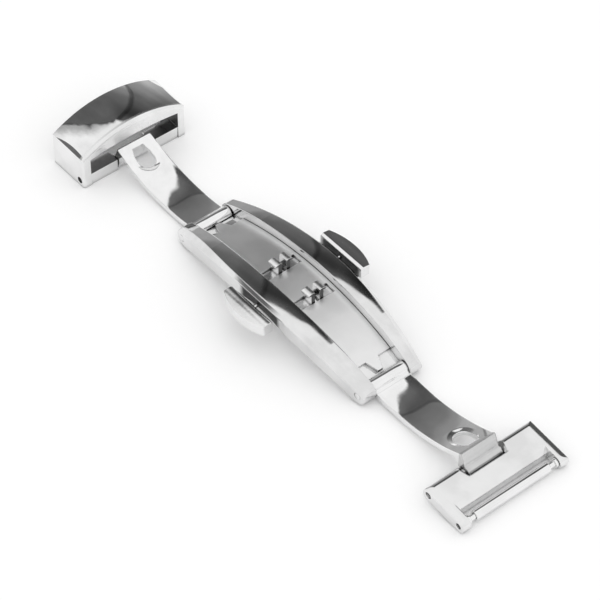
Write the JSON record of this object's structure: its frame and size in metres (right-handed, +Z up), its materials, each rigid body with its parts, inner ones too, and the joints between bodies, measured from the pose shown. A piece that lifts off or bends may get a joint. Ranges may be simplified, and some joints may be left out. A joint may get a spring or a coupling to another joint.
{
  "type": "deployant clasp",
  "caption": "Butterfly deployant clasp for a leather watch strap: bowed frame with folding arms, push buttons, a domed cover and a strap bar end.",
  "frame": {"origin": "on the surface under the middle of the open clasp", "axes": "+X along the strap from the cover to the strap end, +Y across it, +Z up"},
  "size_m": [0.1028, 0.0238, 0.0093],
  "materials": {
    "polished_steel": "mirror polished stainless steel",
    "brushed_steel": "fine brushing along the clasp",
    "slider_steel": "polished stamped steel",
    "pin_steel": "turned steel",
    "bar_steel": "drawn steel tube and turned tips",
    "spring_wire": "spring wire"
  },
  "bodies": {
    "frame": {"base_frame": "polished_steel", "top_plate": "brushed_steel", "left_hinge_pin": "pin_steel", "right_hinge_pin": "pin_steel", "latch_spring_near": "spring_wire", "latch_spring_far": "spring_wire"},
    "left_arm": {"left_arm": "polished_steel"},
    "right_arm": {"right_arm": "polished_steel"},
    "cover": {"cover": "polished_steel", "cover_pin": "pin_steel", "cover_bar_tube": "bar_steel", "cover_bar_spring": "spring_wire"},
    "strap_end": {"strap_end": "polished_steel", "strap_end_pin": "pin_steel", "strap_bar_tube": "bar_steel", "strap_bar_spring": "spring_wire"},
    "button_near": {"latch_slider_near": "slider_steel", "button_pin_near": "pin_steel", "button_near": "polished_steel"},
    "button_far": {"latch_slider_far": "slider_steel", "button_pin_far": "pin_steel", "button_far": "polished_steel"},
    "cover_bar_tip_near": {"cover_bar_tip_near": "bar_steel"},
    "cover_bar_tip_far": {"cover_bar_tip_far": "bar_steel"},
    "strap_bar_tip_near": {"strap_bar_tip_near": "bar_steel"},
    "strap_bar_tip_far": {"strap_bar_tip_far": "bar_steel"}
  },
  "joints": [
    {"name": "left_fold", "type": "hinge", "parent": "frame", "child": "left_arm", "pos_m": [-0.02237, 0, 0.00175], "axis": [0, 1, 0], "range_deg": [0, 162.6]},
    {"name": "right_fold", "type": "hinge", "parent": "frame", "child": "right_arm", "pos_m": [0.02163, 0, 0.00175], "axis": [0, -1, 0], "range_deg": [0, 160.9]},
    {"name": "cover_swing", "type": "hinge", "parent": "left_arm", "child": "cover", "pos_m": [-0.04416, 0, 0.0012], "axis": [0, 1, 0], "range_deg": [-162.7, 0]},
    {"name": "strap_end_swing", "type": "hinge", "parent": "right_arm", "child": "strap_end", "pos_m": [0.04343, 0, 0.00186], "axis": [0, -1, 0], "range_deg": [-154.99, 0]},
    {"name": "near_button_press", "type": "slide", "parent": "frame", "child": "button_near", "axis": [0, 1, 0], "range_m": [0, 0.00045], "stiffness_N_per_m": 400, "springref_m": -0.001, "deforming": ["latch_spring_near"]},
    {"name": "far_button_press", "type": "slide", "parent": "frame", "child": "button_far", "axis": [0, -1, 0], "range_m": [0, 0.00045], "stiffness_N_per_m": 400, "springref_m": -0.001, "deforming": ["latch_spring_far"]},
    {"name": "cover_bar_near_press", "type": "slide", "parent": "cover", "child": "cover_bar_tip_near", "axis": [0, 1, 0], "range_m": [0, 0.0008], "stiffness_N_per_m": 300, "springref_m": -0.002, "deforming": ["cover_bar_spring"]},
    {"name": "cover_bar_far_press", "type": "slide", "parent": "cover", "child": "cover_bar_tip_far", "axis": [0, -1, 0], "range_m": [0, 0.0008], "stiffness_N_per_m": 300, "springref_m": -0.002, "deforming": ["cover_bar_spring"]},
    {"name": "strap_bar_near_press", "type": "slide", "parent": "strap_end", "child": "strap_bar_tip_near", "axis": [0, 1, 0], "range_m": [0, 0.0008], "stiffness_N_per_m": 300, "springref_m": -0.002, "deforming": ["strap_bar_spring"]},
    {"name": "strap_bar_far_press", "type": "slide", "parent": "strap_end", "child": "strap_bar_tip_far", "axis": [0, -1, 0], "range_m": [0, 0.0008], "stiffness_N_per_m": 300, "springref_m": -0.002, "deforming": ["strap_bar_spring"]}
  ],
  "couplings": [
    {"joint": "cover_swing", "follows": "left_fold", "ratio": -1},
    {"joint": "strap_end_swing", "follows": "right_fold", "ratio": -0.96264}
  ]
}
